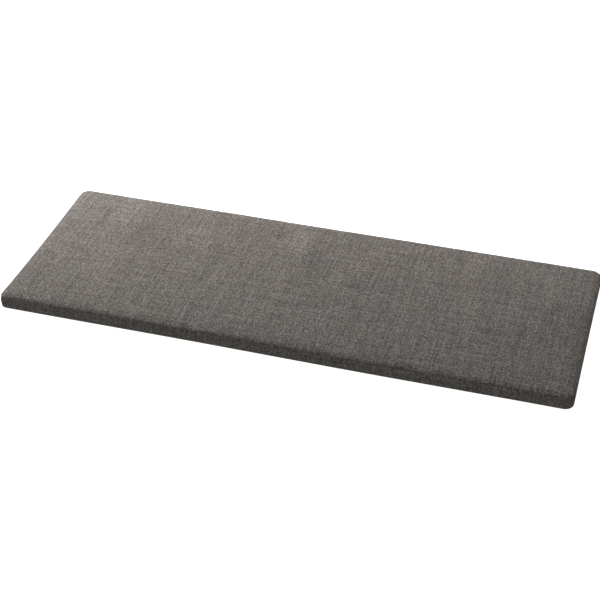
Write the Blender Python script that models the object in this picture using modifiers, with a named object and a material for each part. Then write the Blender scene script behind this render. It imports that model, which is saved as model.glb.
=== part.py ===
"""Bench cushion: a long, thin, box-shaped seat pad in a plain woven cover.

The pad is one filled solid. A grid of cloth lies over its crown, and the grid's edge is carried
down over the soft rolled rim, in and out of a shallow groove in the side, and round under the
pad. The side strip is a band of the same cloth. It lies in that groove and bulges a little
between the upper seam, where the top panel is sewn to it, and the lower seam, where the bottom
panel is.

Metres, +Z up. The origin is the middle of the underside. The long side runs along X, and the
front faces -Y.
"""

from collections import namedtuple
from math import copysign, cos, exp, hypot, pi, radians, sin, sqrt

import bmesh
import bpy
from mathutils import Vector

# Driving sizes
LENGTH = 1.200             # end to end, at the widest part of the side strip
DEPTH = 0.450              # front to back, likewise
CORNER_RADIUS = 0.0201     # corners, seen from above
UPPER_SEAM = 0.0276        # height of the seam between top panel and side strip
LOWER_SEAM = 0.0042        # height of the seam between side strip and bottom panel
CLOTH = 0.0012             # thickness of the side strip
GAP = 0.0003               # clearance all round the side strip

# The side strip bulges: its seams lie in from its widest part
WIDEST = 0.38              # share of the strip's height at which it is widest
UPPER_TUCK = 0.0020
LOWER_TUCK = 0.0008
SEAM_TUCK = 0.0005         # the panels' edges turn in by this much more at the seams

# The top panel rolls over the edge of the filling and rises to a soft crown
ROLL = 0.0044
ROLL_REACH = 0.0070        # how far in from the seam most of the roll takes place
CROWN = 0.0030
CROWN_REACH = 0.032
ROLL_ROWS = (0.0044, 0.0031, 0.0020, 0.0011, 0.0004, 0.0)
GRID_INSET = 0.0080        # where the grid of the top panel ends and the rows of the roll begin

# The bottom panel's smaller roll
HEM_RADIUS = 0.0036
HEM_STEPS = 3

# How far each side is drawn in at its middle, and the front's long soft wave
LEFT_DRAW = 0.0027
LEFT_SKEW = -0.60          # the deepest point of the left end lies towards the front
RIGHT_DRAW = 0.0007
BACK_DRAW = 0.0003
FRONT_WAVE = 0.0011
FRONT_WAVE_LENGTH = 0.90
FRONT_WAVE_START = -0.012

# Lines of the grid on the top panel, as distances in from its edge
CORNER_ROWS = 4
EDGE_ROWS = (0.017, 0.026, 0.040, 0.062, 0.095, 0.135)
MIDDLE_SPACING = 0.048

GREY_BROWN = (0.165, 0.148, 0.135, 1.0)
SIDE_GREY_BROWN = (0.150, 0.136, 0.124, 1.0)
CLOTH_ROUGHNESS = 0.95

HALF_LENGTH = LENGTH / 2
HALF_DEPTH = DEPTH / 2
CORNER_X = HALF_LENGTH - CORNER_RADIUS
CORNER_Y = HALF_DEPTH - CORNER_RADIUS

Section = namedtuple("Section", "inset height")
ON_ROLL = None             # height of a section that follows the top panel


def inside(x, y):
    """How far a point lies in from the outline of the pad, seen from above."""
    across = abs(x) - CORNER_X
    along = abs(y) - CORNER_Y
    if across > 0 and along > 0:
        return CORNER_RADIUS - hypot(across, along)
    return CORNER_RADIUS - max(across, along)


def top_height(x, y):
    """Height of the top panel: it rolls up from the seam, then crowns, less so at the corners."""
    from_seam = max(0.0, inside(x, y) - UPPER_TUCK)
    from_end = max(0.0, HALF_LENGTH - UPPER_TUCK - abs(x))
    from_side = max(0.0, HALF_DEPTH - UPPER_TUCK - abs(y))
    rolled = UPPER_SEAM + SEAM_TUCK + ROLL * (1 - exp(-from_seam / ROLL_REACH))
    end_rise = 1 - exp(-from_end / CROWN_REACH)
    side_rise = 1 - exp(-from_side / CROWN_REACH)
    return rolled + CROWN * end_rise * side_rise


def strip_inset(share):
    """How far in the side strip's face lies, by the share of its height from the lower seam."""
    if share > WIDEST:
        return UPPER_TUCK * ((share - WIDEST) / (1 - WIDEST)) ** 2
    return LOWER_TUCK * ((WIDEST - share) / WIDEST) ** 2


def strip_sections(top, bottom, behind):
    """Sections of the side strip from its top down, or of a face that lies behind it."""
    for share in (1.0, 0.84, 0.68, 0.53, 0.38, 0.18, 0.0):
        seam_turn = SEAM_TUCK / 2 if share in (0.0, 1.0) else 0.0
        yield Section(strip_inset(share) + seam_turn + behind, bottom + (top - bottom) * share)


def hem_sections():
    """Sections of the bottom panel's turned-up edge, from the lower seam down to the floor."""
    for step in range(HEM_STEPS + 1):
        turn = radians(90) * step / HEM_STEPS
        inset = LOWER_TUCK + HEM_RADIUS * (1 - cos(turn))
        yield Section(inset, HEM_RADIUS * (1 - sin(turn)))


def pad_sections():
    """Sections of the pad's side, from the top panel down to the underside."""
    for distance in ROLL_ROWS:
        yield Section(UPPER_TUCK + distance, ON_ROLL)
    yield Section(UPPER_TUCK + SEAM_TUCK, UPPER_SEAM)
    yield from strip_sections(UPPER_SEAM, LOWER_SEAM, CLOTH + GAP * 1.3)
    yield Section(LOWER_TUCK + SEAM_TUCK, LOWER_SEAM)
    yield from hem_sections()


def grid_lines(half):
    """Places of the grid's lines along one axis, finer towards both ends."""
    reach = half - GRID_INSET
    corner = CORNER_RADIUS - GRID_INSET
    near = [corner * row / CORNER_ROWS for row in range(CORNER_ROWS + 1)] + list(EDGE_ROWS)
    inner = reach - near[-1]
    steps = max(2, round(2 * inner / MIDDLE_SPACING))
    middle = [-inner + 2 * inner * step / steps for step in range(1, steps)]
    return [d - reach for d in near] + middle + [reach - d for d in reversed(near)]


def round_corner(x, y):
    """Moves a point of the sharp-cornered grid to its place with rounded corners."""
    radius = CORNER_RADIUS - GRID_INSET
    across = (abs(x) - CORNER_X) / radius
    along = (abs(y) - CORNER_Y) / radius
    if across <= 0 or along <= 0:
        return x, y
    rounded_x = CORNER_X + radius * across * sqrt(1 - along * along / 2)
    rounded_y = CORNER_Y + radius * along * sqrt(1 - across * across / 2)
    return copysign(rounded_x, x), copysign(rounded_y, y)


def outward(point):
    """Direction that faces away from the pad, seen from above, at a point of its side."""
    core_x = max(-CORNER_X, min(CORNER_X, point.x))
    core_y = max(-CORNER_Y, min(CORNER_Y, point.y))
    return Vector((point.x - core_x, point.y - core_y, 0)).normalized()


def draw_in_sides(mesh):
    """Draws the sides in between the corners, less and less towards the pad's middle."""
    for vert in mesh.verts:
        u = vert.co.x / HALF_LENGTH
        v = vert.co.y / HALF_DEPTH
        bow_of_end = max(0.0, 1 - v * v)
        bow_of_side = max(0.0, 1 - u * u)
        if u < 0:
            vert.co.x += LEFT_DRAW * bow_of_end * (1 + LEFT_SKEW * v) * u ** 4
        else:
            vert.co.x -= RIGHT_DRAW * bow_of_end * u ** 4
        if v > 0:
            vert.co.y -= BACK_DRAW * bow_of_side * v ** 4
        else:
            wave = sin(2 * pi * (vert.co.x - FRONT_WAVE_START) / FRONT_WAVE_LENGTH)
            vert.co.y -= FRONT_WAVE * wave * bow_of_side * v ** 4


def carry_edge(mesh, edges, start, sections):
    """Extrudes a loop of edges from one section to the next and returns the last loop."""
    last = start
    for section in sections:
        grown = bmesh.ops.extrude_edge_only(mesh, edges=edges)["geom"]
        for vert in (item for item in grown if isinstance(item, bmesh.types.BMVert)):
            vert.co += outward(vert.co) * (last.inset - section.inset)
            if section.height is ON_ROLL:
                vert.co.z = top_height(vert.co.x, vert.co.y)
            else:
                vert.co.z = section.height
        edges = [item for item in grown if isinstance(item, bmesh.types.BMEdge)]
        last = section
    return edges


def rim_loop():
    """Points round the edge of the top panel's grid, one for each line that ends there."""
    along = grid_lines(HALF_LENGTH)
    across = grid_lines(HALF_DEPTH)
    sharp = [(x, across[0]) for x in along[:-1]]
    sharp += [(along[-1], y) for y in across[:-1]]
    sharp += [(x, across[-1]) for x in reversed(along[1:])]
    sharp += [(along[0], y) for y in reversed(across[1:])]
    return [round_corner(x, y) for x, y in sharp]


def fabric(name, colour):
    """A matt cloth finish."""
    material = bpy.data.materials.new(name)
    material.use_nodes = True
    shader = material.node_tree.nodes["Principled BSDF"]
    shader.inputs["Base Color"].default_value = colour
    shader.inputs["Roughness"].default_value = CLOTH_ROUGHNESS
    shader.inputs["Metallic"].default_value = 0.0
    return material


def add_piece(name, mesh, material, collection):
    """Turns a finished bmesh into a named object with its cloth."""
    bmesh.ops.recalc_face_normals(mesh, faces=mesh.faces)
    data = bpy.data.meshes.new(name)
    mesh.to_mesh(data)
    mesh.free()
    data.materials.append(material)
    data.shade_smooth()
    data.set_sharp_from_angle(angle=radians(50))
    piece = bpy.data.objects.new(name, data)
    collection.objects.link(piece)
    return piece


def make_pad(collection):
    """The filled pad: top panel, its roll, groove for the side strip, hem and underside."""
    along = grid_lines(HALF_LENGTH)
    across = grid_lines(HALF_DEPTH)
    columns = len(along) - 1
    rows = len(across) - 1
    mesh = bmesh.new()
    bmesh.ops.create_grid(mesh, x_segments=columns, y_segments=rows, size=1.0)
    for vert in mesh.verts:
        column = round((vert.co.x + 1) / 2 * columns)
        row = round((vert.co.y + 1) / 2 * rows)
        x, y = round_corner(along[column], across[row])
        vert.co = (x, y, top_height(x, y))
    edge = [item for item in mesh.edges if item.is_boundary]
    edge = carry_edge(mesh, edge, Section(GRID_INSET, ON_ROLL), pad_sections())
    bmesh.ops.edgeloop_fill(mesh, edges=edge)
    draw_in_sides(mesh)
    return add_piece("cushion", mesh, fabric("cover_cloth", GREY_BROWN), collection)


def make_side_strip(collection):
    """The side strip: one long band of cloth round the pad, thickened inwards."""
    first, *others = strip_sections(UPPER_SEAM - GAP, LOWER_SEAM + GAP, 0.0)
    mesh = bmesh.new()
    corners = []
    for x, y in rim_loop():
        point = Vector((x, y, 0))
        point += outward(point) * (GRID_INSET - first.inset)
        corners.append(mesh.verts.new((point.x, point.y, first.height)))
    following = corners[1:] + corners[:1]
    edge = [mesh.edges.new(pair) for pair in zip(corners, following)]
    carry_edge(mesh, edge, first, others)
    draw_in_sides(mesh)
    piece = add_piece("boxing", mesh, fabric("side_cloth", SIDE_GREY_BROWN), collection)
    solid = piece.modifiers.new("cloth thickness", "SOLIDIFY")
    solid.thickness = CLOTH
    solid.offset = -1.0
    solid.use_even_offset = True
    return piece


for leftover in list(bpy.data.objects):
    bpy.data.objects.remove(leftover, do_unlink=True)

bench_cushion = bpy.data.collections.new("bench_cushion")
bpy.context.scene.collection.children.link(bench_cushion)
make_pad(bench_cushion)
make_side_strip(bench_cushion)
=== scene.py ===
from math import copysign, cos, exp, hypot, pi, radians, sin, sqrt

import bmesh
import bpy
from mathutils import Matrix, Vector, kdtree, noise


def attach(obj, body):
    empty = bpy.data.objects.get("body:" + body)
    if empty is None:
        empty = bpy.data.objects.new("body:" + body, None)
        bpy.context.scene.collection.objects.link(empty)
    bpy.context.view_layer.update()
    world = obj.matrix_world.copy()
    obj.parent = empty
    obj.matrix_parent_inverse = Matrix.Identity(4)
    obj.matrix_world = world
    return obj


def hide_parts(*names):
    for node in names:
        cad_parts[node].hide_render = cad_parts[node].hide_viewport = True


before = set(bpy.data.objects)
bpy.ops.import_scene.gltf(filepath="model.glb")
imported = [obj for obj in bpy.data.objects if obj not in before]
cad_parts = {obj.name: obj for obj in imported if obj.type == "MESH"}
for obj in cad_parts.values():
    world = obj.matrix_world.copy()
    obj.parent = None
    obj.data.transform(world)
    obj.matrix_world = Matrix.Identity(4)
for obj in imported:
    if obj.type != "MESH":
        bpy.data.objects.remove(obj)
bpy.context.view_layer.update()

# ------------------------------------------------------------------------------------------
# The filled pad. A slab of foam in a woven cover. The top panel rolls over the foam's edge down
# to the upper seam, the bottom panel turns up to the lower seam, and between the two seams the
# cover is let in for the side strip.

PAD_LENGTH = 1.200
PAD_DEPTH = 0.450
CORNER_RADIUS = 0.0201
UPPER_SEAM = 0.0276
LOWER_SEAM = 0.0042
SEAM_TUCK = 0.0005
GROOVE = 0.0016
HEM_RADIUS = 0.0036
HEM_STEPS = 6

# The side is widest at this share of the way up from the lower seam, and tucked in at the seams
WIDEST = 0.38
UPPER_TUCK = 0.0020
LOWER_TUCK = 0.0008

# The roll over the foam's edge: its height and reach, how far its rows are from the seam, and how
# much cloth it takes for its width seen from above
ROLL = 0.0044
ROLL_REACH = 0.0070
ROLL_ROWS = (0.0052, 0.0044, 0.0036, 0.0029, 0.0023, 0.0017, 0.0012, 0.0007, 0.0003, 0.0)
ROLL_CLOTH = 1.25

# The crown starts 0.3 mm lower than it ends, because forming the top panel lifts it by that
CROWN = 0.0027
CROWN_REACH = 0.032

# How far the sides are drawn in, or wave, between the corners
LEFT_DRAW = 0.0027
LEFT_SKEW = -0.60
RIGHT_DRAW = 0.0007
BACK_DRAW = 0.0003
FRONT_WAVE = 0.0011
FRONT_WAVE_LENGTH = 0.90
FRONT_WAVE_START = -0.0120

# How far each corner's tip is filled out, or pulled in where the filling falls short of it
FRONT_LEFT_CORNER = 0.0025
BACK_LEFT_CORNER = -0.0010
BACK_RIGHT_CORNER = -0.0021

# The panel is made as a grid that ends this far inside the outline, then grown down the side
GRID_INSET = 0.0080
PANEL_SPACING = 0.0053
CORNER_ROWS = 5

half_length = PAD_LENGTH / 2
half_depth = PAD_DEPTH / 2
corner_x = half_length - CORNER_RADIUS
corner_y = half_depth - CORNER_RADIUS


def panel_lines(half, spacing):
    """Places of the panel's grid lines along one axis, closer together at its ends."""
    reach = half - GRID_INSET
    corner = CORNER_RADIUS - GRID_INSET
    near = [corner * row / CORNER_ROWS for row in range(CORNER_ROWS + 1)]
    inner = reach - corner
    steps = round(2 * inner / spacing)
    middle = [-inner + 2 * inner * step / steps for step in range(1, steps)]
    return [d - reach for d in near] + middle + [reach - d for d in reversed(near)]


def round_corner(x, y):
    """Moves a point of the sharp-cornered panel to its place with rounded corners."""
    radius = CORNER_RADIUS - GRID_INSET
    across = (abs(x) - corner_x) / radius
    along = (abs(y) - corner_y) / radius
    if across <= 0 or along <= 0:
        return x, y
    return (
        copysign(corner_x + radius * across * sqrt(1 - along * along / 2), x),
        copysign(corner_y + radius * along * sqrt(1 - across * across / 2), y),
    )


def core_of(place):
    """The point that a place near the side is rounded about, seen from above."""
    x = max(-corner_x, min(corner_x, place.x))
    y = max(-corner_y, min(corner_y, place.y))
    return Vector((x, y, 0))


def outward(place):
    """Direction away from the pad, seen from above, at a place near its side."""
    return (Vector((place.x, place.y, 0)) - core_of(place)).normalized()


def inside(x, y):
    """How far in from the pad's outline a place lies."""
    across = abs(x) - corner_x
    along = abs(y) - corner_y
    if across > 0 and along > 0:
        return CORNER_RADIUS - hypot(across, along)
    return CORNER_RADIUS - max(across, along)


def top_height(x, y):
    """Height of the top panel: it rolls up from the seam, then crowns."""
    from_seam = max(0.0, inside(x, y) - UPPER_TUCK)
    from_end = max(0.0, half_length - UPPER_TUCK - abs(x))
    from_side = max(0.0, half_depth - UPPER_TUCK - abs(y))
    rolled = UPPER_SEAM + SEAM_TUCK + ROLL * (1 - exp(-from_seam / ROLL_REACH))
    return rolled + CROWN * (1 - exp(-from_end / CROWN_REACH)) * (1 - exp(-from_side / CROWN_REACH))


def strip_inset(share):
    """How far in the side strip lies, by the share of its height from the lower seam."""
    if share > WIDEST:
        return UPPER_TUCK * ((share - WIDEST) / (1 - WIDEST)) ** 2
    return LOWER_TUCK * ((WIDEST - share) / WIDEST) ** 2


def fill_corner(place):
    """Fills out or pulls in the tips of the corners."""
    if place.x < 0:
        tip = FRONT_LEFT_CORNER if place.y < 0 else BACK_LEFT_CORNER
    else:
        tip = 0.0 if place.y < 0 else BACK_RIGHT_CORNER
    across = max(0.0, abs(place.x) - corner_x)
    along = max(0.0, abs(place.y) - corner_y)
    if across > 0 and along > 0:
        at_tip = (2 * across * along) ** 2 / (across ** 2 + along ** 2)
        away = outward(place)
        place.x += away.x * tip * at_tip / CORNER_RADIUS ** 2
        place.y += away.y * tip * at_tip / CORNER_RADIUS ** 2


def draw_in(place):
    """Gives the corners their fullness and draws the sides in between them."""
    fill_corner(place)
    to_end = place.x / half_length
    to_side = place.y / half_depth
    bow_of_end = max(0.0, 1 - to_side * to_side)
    bow_of_side = max(0.0, 1 - to_end * to_end)
    if to_end < 0:
        place.x += LEFT_DRAW * bow_of_end * (1 + LEFT_SKEW * to_side) * to_end ** 4
    else:
        place.x -= RIGHT_DRAW * bow_of_end * to_end ** 4
    if to_side > 0:
        place.y -= BACK_DRAW * bow_of_side * to_side ** 4
    else:
        wave = sin(2 * pi * (place.x - FRONT_WAVE_START) / FRONT_WAVE_LENGTH)
        place.y -= FRONT_WAVE * wave * bow_of_side * to_side ** 4


def finish_mesh(name, mesh, material):
    """Makes a finished bmesh into a smooth object with its cloth."""
    bmesh.ops.recalc_face_normals(mesh, faces=mesh.faces)
    data = bpy.data.meshes.new(name)
    mesh.to_mesh(data)
    mesh.free()
    data.materials.append(material)
    data.shade_smooth()
    piece = bpy.data.objects.new(name, data)
    bpy.context.scene.collection.objects.link(piece)
    return piece


along_lines = panel_lines(half_length, PANEL_SPACING)
across_lines = panel_lines(half_depth, PANEL_SPACING)
columns = len(along_lines) - 1
rows = len(across_lines) - 1

# Each point keeps its place on the cloth while that is still flat, for the weave
pad = bmesh.new()
flat_x = pad.verts.layers.float.new("flat_x")
flat_y = pad.verts.layers.float.new("flat_y")
bmesh.ops.create_grid(pad, x_segments=columns, y_segments=rows, size=1.0)
for vert in pad.verts:
    column = round((vert.co.x + 1) / 2 * columns)
    row = round((vert.co.y + 1) / 2 * rows)
    x, y = round_corner(along_lines[column], across_lines[row])
    vert.co = (x, y, top_height(x, y))
    vert[flat_x], vert[flat_y] = x, y

# Twice as many columns go down the side as there are lines in the grid
rim = [edge for edge in pad.edges if edge.is_boundary]
bmesh.ops.subdivide_edges(pad, edges=rim, cuts=1)
rim = [edge for edge in pad.edges if edge.is_boundary]
for vert in {vert for edge in rim for vert in edge.verts}:
    on_rim = core_of(vert.co) + outward(vert.co) * (CORNER_RADIUS - GRID_INSET)
    vert.co = (on_rim.x, on_rim.y, top_height(on_rim.x, on_rim.y))
    vert[flat_x], vert[flat_y] = on_rim.x, on_rim.y

# Way down the side: how far in, how high, and the cloth's length from the grid's edge. A height
# of None follows the roll of the top panel.
way_down = []
for distance in ROLL_ROWS:
    roll_run = ROLL_CLOTH * (GRID_INSET - UPPER_TUCK - distance)
    way_down.append((UPPER_TUCK + distance, None, roll_run))

# The fold into the upper seam
way_down.append((UPPER_TUCK + SEAM_TUCK * 0.3, UPPER_SEAM + SEAM_TUCK * 0.35, roll_run + SEAM_TUCK * 0.7))
way_down.append((UPPER_TUCK + SEAM_TUCK, UPPER_SEAM, roll_run + SEAM_TUCK * 1.4))

# The groove behind the side strip
for share in (1.0, 0.7, WIDEST, 0.0):
    height = LOWER_SEAM + (UPPER_SEAM - LOWER_SEAM) * share
    way_down.append((strip_inset(share) + GROOVE, height, roll_run + GROOVE))

# The lower seam, and the hem's quarter turn down to the underside
hem_run = HEM_RADIUS * radians(90)
way_down.append((LOWER_TUCK + SEAM_TUCK, LOWER_SEAM, hem_run + SEAM_TUCK))
for step in range(HEM_STEPS + 1):
    turn = radians(90) * step / HEM_STEPS
    hem_inset = LOWER_TUCK + HEM_RADIUS * (1 - cos(turn))
    way_down.append((hem_inset, HEM_RADIUS * (1 - sin(turn)), hem_run * (1 - step / HEM_STEPS)))

# Less than lies between any two rows of the mesh
HAIRBREADTH = 0.0001

inset_before = GRID_INSET
edges = rim
for inset, height, run in way_down:
    grown = bmesh.ops.extrude_edge_only(pad, edges=edges)["geom"]
    for vert in (item for item in grown if isinstance(item, bmesh.types.BMVert)):
        away = outward(vert.co)
        vert.co += away * (inset_before - inset)
        vert.co.z = top_height(vert.co.x, vert.co.y) if height is None else height
        flat_end = GRID_INSET
        if vert.co.z < LOWER_SEAM + HAIRBREADTH:
            flat_end = LOWER_TUCK + HEM_RADIUS
        base = vert.co - away * (flat_end - inset)
        vert[flat_x] = base.x + away.x * run
        vert[flat_y] = base.y + away.y * run
    edges = [item for item in grown if isinstance(item, bmesh.types.BMEdge)]
    inset_before = inset
bmesh.ops.edgeloop_fill(pad, edges=edges)

# Seams guided by hand stray a little: slowly, and more quickly by less
SLOW_DRIFT = 0.0007
SLOW_DRIFTS_PER_METRE = 7
QUICK_DRIFT = 0.0003
QUICK_DRIFTS_PER_METRE = 24
LOWER_SEAM_SHARE = 0.6


def seam_drift(place, salt):
    """How far up or down a seam strays at a place of the outline."""
    spot = core_of(place) + outward(place) * CORNER_RADIUS
    x, y = spot.x, spot.y
    slow = noise.noise(Vector((x * SLOW_DRIFTS_PER_METRE, y * SLOW_DRIFTS_PER_METRE, salt)))
    quick = noise.noise(Vector((x * QUICK_DRIFTS_PER_METRE, y * QUICK_DRIFTS_PER_METRE, salt + 9)))
    return SLOW_DRIFT * slow + QUICK_DRIFT * quick


def upper_drift(place):
    """How far the upper seam strays."""
    return seam_drift(place, 1.0)


def lower_drift(place):
    """How far the lower seam strays, which is less."""
    return seam_drift(place, 5.0) * LOWER_SEAM_SHARE


# The panel puckers along its seam, and lies softly uneven elsewhere
RIM_PUCKER = 0.00024
PUCKER_REACH = 0.006
PUCKERS_PER_METRE = 95.0
PUCKER_OUT = 0.6
PUCKER_UP = 0.8
SOFT_UNEVEN = 0.00030
SOFT_SWELLS_PER_METRE = 9

for vert in pad.verts:
    depth_in = inside(vert.co.x, vert.co.y)
    if vert.co.z > UPPER_SEAM - HAIRBREADTH:
        near = exp(-max(0.0, depth_in - UPPER_TUCK) / PUCKER_REACH)
        spot = core_of(vert.co) + outward(vert.co) * CORNER_RADIUS
        pucker = noise.noise(spot * PUCKERS_PER_METRE)
        x, y = vert.co.x * SOFT_SWELLS_PER_METRE, vert.co.y * SOFT_SWELLS_PER_METRE
        soft = noise.noise(Vector((x, y, 2.0)))
        vert.co.z += upper_drift(vert.co) * near + SOFT_UNEVEN * soft * (1 - near)
        if vert.co.z > UPPER_SEAM + 2 * HAIRBREADTH + upper_drift(vert.co):
            lean = outward(vert.co) * PUCKER_OUT + Vector((0, 0, PUCKER_UP))
            vert.co += RIM_PUCKER * pucker * near * lean
    elif LOWER_SEAM - HAIRBREADTH < vert.co.z < LOWER_SEAM + HAIRBREADTH:
        vert.co.z += lower_drift(vert.co)
    draw_in(vert.co)

cloth_map = pad.loops.layers.uv.new("cloth")
for face in pad.faces:
    for loop in face.loops:
        loop[cloth_map].uv = (loop.vert[flat_x], loop.vert[flat_y])

# The cover cloth. A matt plain weave in a melange of dark, grey-brown and pale yarns, spun
# unevenly so that it looks like linen. The map "cloth" gives places on it in metres.
YARN_DARK = (0.0475, 0.040, 0.0335, 1.0)
YARN_BROWN = (0.1088, 0.094, 0.0840, 1.0)
YARN_GREY = (0.1945, 0.173, 0.1580, 1.0)
YARN_PALE = (0.4125, 0.376, 0.3520, 1.0)
WARP_PITCH = 0.00088
WEFT_PITCH = 0.00096
YARN_WANDER = 0.0007
WANDERS_PER_METRE = 70.0
CRIMP = 0.32
WEAVE_RELIEF = 0.00022
GAP_LIGHT = 0.5

# Slubs, the thick soft places in a yarn, show as streaks, and flecks as short ones. Their size
# is how many yarns wide they are, and how long. The warp's slubs are the longer ones.
WARP_SLUB = (1.0, 0.10)
WEFT_SLUB = (1.4, 0.08)
FLECK = (1.0, 0.0044)
BAND = (3.0, 0.20)
FIBRES_ACROSS = 2600.0
FIBRES_ALONG = 420.0

# How much paler or darker each of them is, and how much of it the weft shows
SLUB_TONE = 0.47
FLECK_TONE = 0.69
BAND_TONE = 0.07
FIBRE_TONE = 0.30
WEFT_SHARE = 0.55

# Thick and thin places that come back with each repeat of the cloth: where in the repeat, how
# far from the middle of the panel, half width, half length and how much paler
REPEAT = 0.3965
REPEAT_START = -0.600
REPEAT_MARKS = (
    (0.145, 0.155, 0.020, 0.048, 0.18),
    (0.198, 0.083, 0.023, 0.029, -0.16),
    (0.222, -0.070, 0.011, 0.015, -0.14),
    (0.389, -0.010, 0.011, 0.050, -0.13),
    (0.157, -0.039, 0.018, 0.055, 0.11),
    (0.307, 0.113, 0.019, 0.034, 0.10),
    (0.026, -0.027, 0.025, 0.033, 0.08),
    (0.317, 0.035, 0.026, 0.017, -0.08),
)
CLOUDING = 0.02
CLOUDS_PER_METRE = 16.0


def woven_cloth(name, seed, painted_light_level, marks):
    """The cover cloth as a material: yarn colours, weave relief and the soft sheen of fibre."""
    cloth = bpy.data.materials.new(name)
    cloth.use_nodes = True
    nodes = cloth.node_tree.nodes
    links = cloth.node_tree.links
    shader = nodes["Principled BSDF"]

    def feed(socket, value):
        """Puts a number or another node's output into a socket."""
        if isinstance(value, bpy.types.NodeSocket):
            links.new(value, socket)
        else:
            socket.default_value = value

    def maths(operation, first, second=0.0, third=0.0):
        """One step of arithmetic."""
        step = nodes.new("ShaderNodeMath")
        step.operation = operation
        for socket, value in zip(step.inputs, (first, second, third)):
            feed(socket, value)
        return step.outputs[0]

    def point(x, y, z):
        """A place made of three numbers."""
        combine = nodes.new("ShaderNodeCombineXYZ")
        for socket, value in zip(combine.inputs, (x, y, z)):
            feed(socket, value)
        return combine.outputs[0]

    def mottle(place, scale, detail=0.0, roughness=0.5):
        """Soft noise from 0 to 1, about 0.5."""
        texture = nodes.new("ShaderNodeTexNoise")
        feed(texture.inputs["Vector"], place)
        feed(texture.inputs["Scale"], scale)
        feed(texture.inputs["Detail"], detail)
        feed(texture.inputs["Roughness"], roughness)
        return texture

    def paler_and_darker(texture, tone):
        """Stretches soft noise to the range from -tone to tone."""
        reach = nodes.new("ShaderNodeMapRange")
        feed(reach.inputs["Value"], texture.outputs["Fac"])
        feed(reach.inputs["From Min"], 0.25)
        feed(reach.inputs["From Max"], 0.75)
        feed(reach.inputs["To Min"], -tone)
        feed(reach.inputs["To Max"], tone)
        return reach.outputs[0]

    # Where each yarn runs: a straight count of yarns, a little wandering
    cloth_place = nodes.new("ShaderNodeUVMap")
    cloth_place.uv_map = "cloth"
    wander = nodes.new("ShaderNodeVectorMath")
    wander.operation = "MULTIPLY_ADD"
    feed(wander.inputs[0], mottle(cloth_place.outputs[0], WANDERS_PER_METRE).outputs["Color"])
    wander.inputs[1].default_value = (YARN_WANDER, YARN_WANDER, 0.0)
    feed(wander.inputs[2], cloth_place.outputs[0])
    split = nodes.new("ShaderNodeSeparateXYZ")
    feed(split.inputs[0], wander.outputs[0])
    across, along = split.outputs[0], split.outputs[1]
    warp_count = maths("DIVIDE", across, WARP_PITCH)
    weft_count = maths("DIVIDE", along, WEFT_PITCH)
    warp_number = maths("FLOOR", warp_count)
    weft_number = maths("FLOOR", weft_count)

    def arch(count):
        """Round section of a yarn, 0 at its sides and 1 along its middle."""
        side = maths("MULTIPLY_ADD", maths("FRACT", count), 2.0, -1.0)
        room = maths("SUBTRACT", 1.0, maths("MULTIPLY", side, side))
        return maths("SQRT", maths("MAXIMUM", room, 0.0))

    def lift(count, number, over):
        """How high a yarn rides as it goes over and under the ones it crosses."""
        turn = maths("MULTIPLY", maths("ADD", maths("SUBTRACT", count, 0.5), number), pi)
        return maths("MULTIPLY_ADD", maths("COSINE", turn), CRIMP * over, 1 - CRIMP)

    warp_height = maths("MULTIPLY", arch(warp_count), lift(weft_count, warp_number, 1))
    weft_height = maths("MULTIPLY", arch(weft_count), lift(warp_count, weft_number, -1))
    height = maths("MAXIMUM", warp_height, weft_height)
    warp_shows = maths("GREATER_THAN", warp_height, weft_height)

    def yarn_tone(number, run, other, slub_size, salt):
        """Tone of one set of yarns: slubs and flecks along each yarn, odd shades of yarn, fibres."""

        def streaks(size, salt_step, tone, detail=0.0):
            """Streaks of one size along the yarns."""
            width, length = size
            streak_across = maths("DIVIDE", number, width)
            streak_along = maths("DIVIDE", run, length)
            place = point(streak_across, streak_along, salt + salt_step)
            return paler_and_darker(mottle(place, 1.0, detail), tone)

        slub = streaks(slub_size, 0.4, SLUB_TONE, 1.0)
        fleck = streaks(FLECK, 3.6, FLECK_TONE)
        band = streaks(BAND, 5.5, BAND_TONE)
        fibre_across = maths("MULTIPLY", other, FIBRES_ACROSS)
        fibre_along = maths("MULTIPLY", run, FIBRES_ALONG)
        fibre = paler_and_darker(mottle(point(fibre_across, fibre_along, salt), 1.0, 1.0), FIBRE_TONE)
        return maths("ADD", maths("ADD", slub, fleck), maths("ADD", band, fibre))

    warp_tone = yarn_tone(warp_number, along, across, WARP_SLUB, seed)
    weft_tone = yarn_tone(weft_number, across, along, WEFT_SLUB, seed + 11)
    weave_tone = nodes.new("ShaderNodeMix")
    feed(weave_tone.inputs["Factor"], warp_shows)
    feed(weave_tone.inputs["A"], maths("MULTIPLY", weft_tone, WEFT_SHARE))
    feed(weave_tone.inputs["B"], warp_tone)

    yarns = nodes.new("ShaderNodeValToRGB")
    feed(yarns.inputs[0], maths("ADD", weave_tone.outputs[0], 0.5))
    dark, pale = yarns.color_ramp.elements
    dark.position, dark.color = 0.0, YARN_DARK
    pale.position, pale.color = 1.0, YARN_PALE
    for position, colour in ((0.38, YARN_BROWN), (0.66, YARN_GREY)):
        yarns.color_ramp.elements.new(position).color = colour

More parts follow.
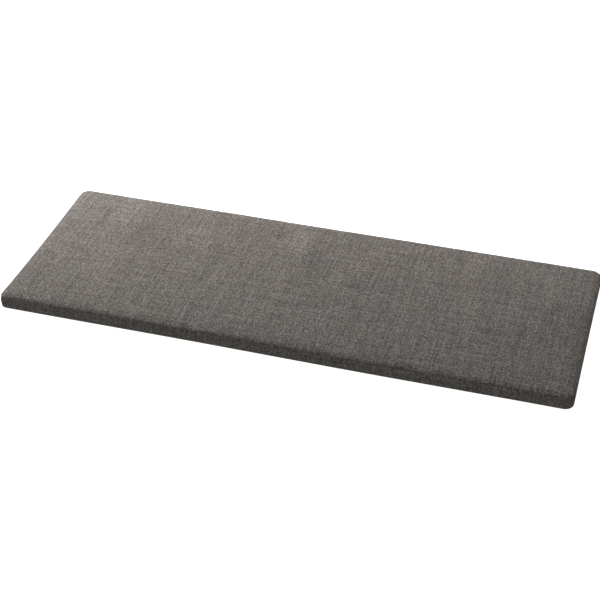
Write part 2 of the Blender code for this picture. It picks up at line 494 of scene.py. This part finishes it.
    # Broad, faint clouding and marks, which repeat along the cloth
    turn = maths("MULTIPLY", across, 2 * pi / REPEAT)
    ring = REPEAT / (2 * pi)
    cloud_place = point(
        maths("MULTIPLY_ADD", maths("COSINE", turn), ring, seed),
        maths("MULTIPLY", maths("SINE", turn), ring),
        along,
    )
    clouds = paler_and_darker(mottle(cloud_place, CLOUDS_PER_METRE, 2.0, 0.55), CLOUDING)
    for repeat_place, from_middle, half_width, half_length_of_mark, paler in marks:
        offset = nodes.new("ShaderNodeVectorMath")
        offset.operation = "WRAP"
        feed(offset.inputs[0], point(maths("SUBTRACT", across, repeat_place + REPEAT_START), 0, 0))
        offset.inputs[1].default_value = (REPEAT / 2, 1.0, 1.0)
        offset.inputs[2].default_value = (-REPEAT / 2, -1.0, -1.0)
        sideways = nodes.new("ShaderNodeSeparateXYZ")
        feed(sideways.inputs[0], offset.outputs[0])
        out_across = maths("DIVIDE", sideways.outputs[0], half_width)
        out_along = maths("DIVIDE", maths("SUBTRACT", along, from_middle), half_length_of_mark)
        reach = maths("MULTIPLY_ADD", out_across, out_across, maths("MULTIPLY", out_along, out_along))
        strength = maths("POWER", exp(-0.5), reach)
        clouds = maths("MULTIPLY_ADD", strength, paler, clouds)

    # Painted shade: less light reaches the gaps between yarns, and the painted light level darkens a
    # whole cloth
    gap_shade = maths("MULTIPLY", maths("MULTIPLY_ADD", height, 1 - GAP_LIGHT, GAP_LIGHT), painted_light_level)
    gap_shade = maths("MULTIPLY_ADD", gap_shade, clouds, gap_shade)
    shaded = nodes.new("ShaderNodeVectorMath")
    shaded.operation = "SCALE"
    feed(shaded.inputs[0], yarns.outputs[0])
    feed(shaded.inputs["Scale"], gap_shade)
    feed(shader.inputs["Base Color"], shaded.outputs[0])

    bump = nodes.new("ShaderNodeBump")
    bump.inputs["Strength"].default_value = 0.7
    bump.inputs["Distance"].default_value = WEAVE_RELIEF
    feed(bump.inputs["Height"], height)
    feed(shader.inputs["Normal"], bump.outputs[0])
    feed(shader.inputs["Roughness"], maths("MULTIPLY_ADD", height, -0.10, 0.98))
    shader.inputs["Specular IOR Level"].default_value = 0.25
    shader.inputs["Sheen Weight"].default_value = 0.12
    shader.inputs["Sheen Roughness"].default_value = 0.55
    shader.inputs["Sheen Tint"].default_value = (0.62, 0.58, 0.54, 1.0)
    return cloth


cover_cloth = woven_cloth("cover_cloth", 0.0, 1.0, REPEAT_MARKS)
cushion_pad = finish_mesh("cushion_pad", pad, cover_cloth)

# The foam pushes the top panel up, more where it is soft. The panel gives least near its seam.
# It is formed as a cloth blown up from within and held back by the foam.
FORMING_VOXEL = 0.006
FORMING_FRAMES = 20
FOAM_PUSH = 4.0
FOAM_HOLD = 0.22
FOAM_HOLD_UNEVEN = 0.06
SOFT_PLACES_PER_METRE = 12
SEAM_HOLD_REACH = 0.014
HELD_ABOVE_SEAM = 0.0020
FORMED_ABOVE_SEAM = 0.0012
LARGEST_MOVE = 0.0015

# A point of the pad takes the moves of so many of the copy's nearest places, the nearest most
NEAREST_PLACES = 5
NEARNESS = 0.002


def foam_hold(place):
    """How firmly the panel is held at a place: 1 at the seam and below it, less over the foam."""
    if place.z < UPPER_SEAM + HELD_ABOVE_SEAM:
        return 1.0
    loose = 1 - exp(-max(0.0, inside(place.x, place.y) - UPPER_TUCK) / SEAM_HOLD_REACH)
    x, y = place.x * SOFT_PLACES_PER_METRE, place.y * SOFT_PLACES_PER_METRE
    foam = FOAM_HOLD + FOAM_HOLD_UNEVEN * noise.noise(Vector((x, y, 4.0)))
    return 1 + (foam - 1) * loose


def blow_up(pad_piece):
    """Blows up an even copy of the pad as cloth, and says where its points were and went."""
    forming = bpy.data.objects.new("forming", pad_piece.data.copy())
    pad_copy = forming.data
    bpy.context.scene.collection.objects.link(forming)
    voxels = forming.modifiers.new("even mesh", "REMESH")
    voxels.mode = "VOXEL"
    voxels.voxel_size = FORMING_VOXEL
    bpy.context.view_layer.update()
    remeshed = forming.evaluated_get(bpy.context.evaluated_depsgraph_get())
    even_mesh = bpy.data.meshes.new_from_object(remeshed)
    forming.modifiers.remove(voxels)
    forming.data = even_mesh
    before = [vert.co.copy() for vert in even_mesh.vertices]
    held = forming.vertex_groups.new(name="held")
    for number, place in enumerate(before):
        held.add([number], foam_hold(place), "REPLACE")

    blown = forming.modifiers.new("blown cloth", "CLOTH")
    blown.settings.quality = 5
    blown.settings.vertex_group_mass = "held"
    blown.settings.use_pressure = True
    blown.settings.uniform_pressure_force = FOAM_PUSH
    blown.settings.effector_weights.gravity = 0.0
    for frame_number in range(1, FORMING_FRAMES + 1):
        bpy.context.scene.frame_set(frame_number)
    blown_up = forming.evaluated_get(bpy.context.evaluated_depsgraph_get())
    after = [vert.co.copy() for vert in blown_up.data.vertices]
    bpy.data.objects.remove(forming, do_unlink=True)
    bpy.data.meshes.remove(even_mesh)
    bpy.data.meshes.remove(pad_copy)
    bpy.context.scene.frame_set(1)
    return before, after


def form_top_panel(pad_piece):
    """Gives the moves of the blown-up copy to the pad's own top panel."""
    before, after = blow_up(pad_piece)
    near_places = kdtree.KDTree(len(before))
    for number, place in enumerate(before):
        near_places.insert(place, number)
    near_places.balance()
    for vert in pad_piece.data.vertices:
        if vert.co.z < UPPER_SEAM + FORMED_ABOVE_SEAM:
            continue
        move = Vector((0, 0, 0))
        weight = 0.0
        for place, number, distance in near_places.find_n(vert.co, NEAREST_PLACES):
            share = 1 / (distance + NEARNESS) ** 2
            move += (after[number] - place) * share
            weight += share
        move /= weight
        if move.length > LARGEST_MOVE:
            move *= LARGEST_MOVE / move.length
        vert.co += move


form_top_panel(cushion_pad)
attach(cushion_pad, "root")
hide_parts("cushion")

# ------------------------------------------------------------------------------------------
# The side strip. One long strip of the same cloth, cut along the warp and sewn between the
# panels all the way round, with its own ends joined in the middle of the back.

STRIP_THICKNESS = 0.0012
STRIP_CLEARANCE = 0.0003
STRIP_ROWS = 14
STRIP_PUCKER = 0.00022
STRIP_PUCKERS_PER_METRE = 80
PUCKERS_UP_STRIP = 1.2
JOIN_DEPTH = 0.0009
JOIN_WIDTH = 0.0022
JOIN_REACH = 0.02

# How suddenly the strip turns in at its two seams
TURN_IN = 12

# Once round the outline from the middle of the back, with the same columns as the pad's side
outline = [(x, across_lines[0]) for x in along_lines[:-1]]
outline += [(along_lines[-1], y) for y in across_lines[:-1]]
outline += [(x, across_lines[-1]) for x in reversed(along_lines[1:])]
outline += [(along_lines[0], y) for y in reversed(across_lines[1:])]
outline = [Vector((*round_corner(x, y), 0)) for x, y in outline]
start = min(range(len(outline)), key=lambda i: (abs(outline[i].x), -outline[i].y))
outline = outline[start:] + outline[:start]
fine = []
for here, after in zip(outline, outline[1:] + outline[:1]):
    fine.append(core_of(here) + outward(here) * CORNER_RADIUS)
    middle = (here + after) / 2
    fine.append(core_of(middle) + outward(middle) * CORNER_RADIUS)

strip = bmesh.new()
run_layer = strip.verts.layers.float.new("run")
columns_of_strip = []
run = 0.0
for number, place in enumerate(fine):
    if number:
        run += (place - fine[number - 1]).length
    top = UPPER_SEAM - STRIP_CLEARANCE + upper_drift(place)
    bottom = LOWER_SEAM + STRIP_CLEARANCE + lower_drift(place)
    x, y = place.x * STRIP_PUCKERS_PER_METRE, place.y * STRIP_PUCKERS_PER_METRE
    column = []
    for row in range(STRIP_ROWS + 1):
        share = row / STRIP_ROWS
        near_seam = abs(2 * share - 1)
        pucker = noise.noise(Vector((x, y, share * PUCKERS_UP_STRIP)))
        inset = strip_inset(share) + SEAM_TUCK / 2 * near_seam ** TURN_IN
        inset -= STRIP_PUCKER * (pucker * near_seam ** 2 - 1) * (1 - near_seam ** TURN_IN)
        if place.y > 0 and abs(place.x) < JOIN_REACH:
            inset += JOIN_DEPTH * exp(-(place.x / JOIN_WIDTH) ** 2)
        spot = place - outward(place) * inset
        spot.z = bottom + (top - bottom) * share
        draw_in(spot)
        vert = strip.verts.new(spot)
        vert[run_layer] = run
        column.append(vert)
    columns_of_strip.append(column)
total_run = run + (fine[0] - fine[-1]).length

strip_map = strip.loops.layers.uv.new("cloth")
count = len(columns_of_strip)
for number in range(count):
    here = columns_of_strip[number]
    after = columns_of_strip[(number + 1) % count]
    for row in range(STRIP_ROWS):
        face = strip.faces.new((here[row], here[row + 1], after[row + 1], after[row]))
        for loop in face.loops:
            length_along = loop.vert[run_layer]
            if number == count - 1 and loop.vert in after:
                length_along = total_run
            loop[strip_map].uv = (length_along, loop.vert.co.z)

# The side strip's cloth is painted 6% darker than the top's, as painted shade for the less lit sides
side_cloth = woven_cloth("side_cloth", 37.0, 0.94, ())
side_strip = finish_mesh("side_strip", strip, side_cloth)
thicken = side_strip.modifiers.new("cloth thickness", "SOLIDIFY")
thicken.thickness = STRIP_THICKNESS
thicken.offset = -1.0
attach(side_strip, "root")
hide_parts("boxing")

# ------------------------------------------------------------------------------------------
# The studio: a pale floor, a soft light behind on the left, a second one behind on the right, a
# dim fill from the front, and the camera a little to the right of the front, looking down.

FLOOR_SIZE = 40.0
FLOOR_DROP = 0.0004
FLOOR_COLOUR = (0.86, 0.86, 0.86, 1.0)
FLOOR_GLOW = 0.95
WHITE = (1.0, 1.0, 1.0, 1.0)

bpy.ops.mesh.primitive_plane_add(size=FLOOR_SIZE, location=(0, 0, -FLOOR_DROP))
floor = bpy.context.object
floor.name = "floor"
floor.visible_diffuse = False
floor_paint = bpy.data.materials.new("floor_paint")
floor_paint.use_nodes = True
floor_shader = floor_paint.node_tree.nodes["Principled BSDF"]
floor_shader.inputs["Base Color"].default_value = FLOOR_COLOUR
floor_shader.inputs["Roughness"].default_value = 1.0
floor_shader.inputs["Specular IOR Level"].default_value = 0.0
floor_shader.inputs["Emission Color"].default_value = WHITE
floor_shader.inputs["Emission Strength"].default_value = FLOOR_GLOW
floor.data.materials.append(floor_paint)


def studio_light(name, size, power, place, aim=None):
    """A round soft light on its stand, turned to what it lights, or else straight down."""
    light = bpy.data.lights.new(name, "AREA")
    light.shape = "DISK"
    light.size = size
    light.energy = power
    stand = bpy.data.objects.new(name, light)
    stand.location = place
    if aim is not None:
        way = Vector(aim) - stand.location
        stand.rotation_euler = way.to_track_quat("-Z", "Y").to_euler()
    bpy.context.scene.collection.objects.link(stand)
    return light


studio_light("softbox", 0.6, 33.5, place=(-1.33, 0.88, 0.86), aim=(0.1, 0, 0))
fill = studio_light("fill", 2.4, 18.5, place=(-0.3, -2.6, 1.1), aim=(0, 0, 0))
fill.color = (0.94, 1.0, 0.92)
studio_light("second_lamp", 0.5, 14.0, place=(0.48, 1.20, 1.00))

# The room is lighter above than below, with a blend between the two, and plain white where it is
# seen past the floor's end
ROOM_ABOVE = 0.19
ROOM_BELOW = 0.01
ROOM_BLEND = 0.6

room = bpy.data.worlds.new("room")
room.use_nodes = True
room_nodes = room.node_tree.nodes
room_links = room.node_tree.links
direction = room_nodes.new("ShaderNodeTexCoord")
height_of_ray = room_nodes.new("ShaderNodeSeparateXYZ")
room_links.new(direction.outputs["Generated"], height_of_ray.inputs[0])
room_light = room_nodes.new("ShaderNodeMapRange")
room_light.inputs["From Min"].default_value = -ROOM_BLEND
room_light.inputs["From Max"].default_value = ROOM_BLEND
room_light.inputs["To Min"].default_value = ROOM_BELOW
room_light.inputs["To Max"].default_value = ROOM_ABOVE
room_links.new(height_of_ray.outputs["Z"], room_light.inputs["Value"])
seen = room_nodes.new("ShaderNodeLightPath")
strength = room_nodes.new("ShaderNodeMix")
strength.inputs["B"].default_value = 1.0
room_links.new(seen.outputs["Is Camera Ray"], strength.inputs["Factor"])
room_links.new(room_light.outputs[0], strength.inputs["A"])
room_nodes["Background"].inputs["Color"].default_value = WHITE
room_links.new(strength.outputs[0], room_nodes["Background"].inputs["Strength"])
bpy.context.scene.world = room

CAMERA_PLACE = (0.7011, -2.4026, 1.7740)
CAMERA_YAW = radians(16.463)
CAMERA_PITCH = radians(35.535)
CAMERA_LENS = 86.77

camera_lens = bpy.data.cameras.new("camera")
camera_lens.sensor_width = 36.0
camera_lens.lens = CAMERA_LENS
camera = bpy.data.objects.new("camera", camera_lens)
camera.location = CAMERA_PLACE
camera.rotation_euler = (radians(90) - CAMERA_PITCH, 0, CAMERA_YAW)
bpy.context.scene.collection.objects.link(camera)
bpy.context.scene.camera = camera
bpy.context.scene.view_settings.view_transform = "Standard"
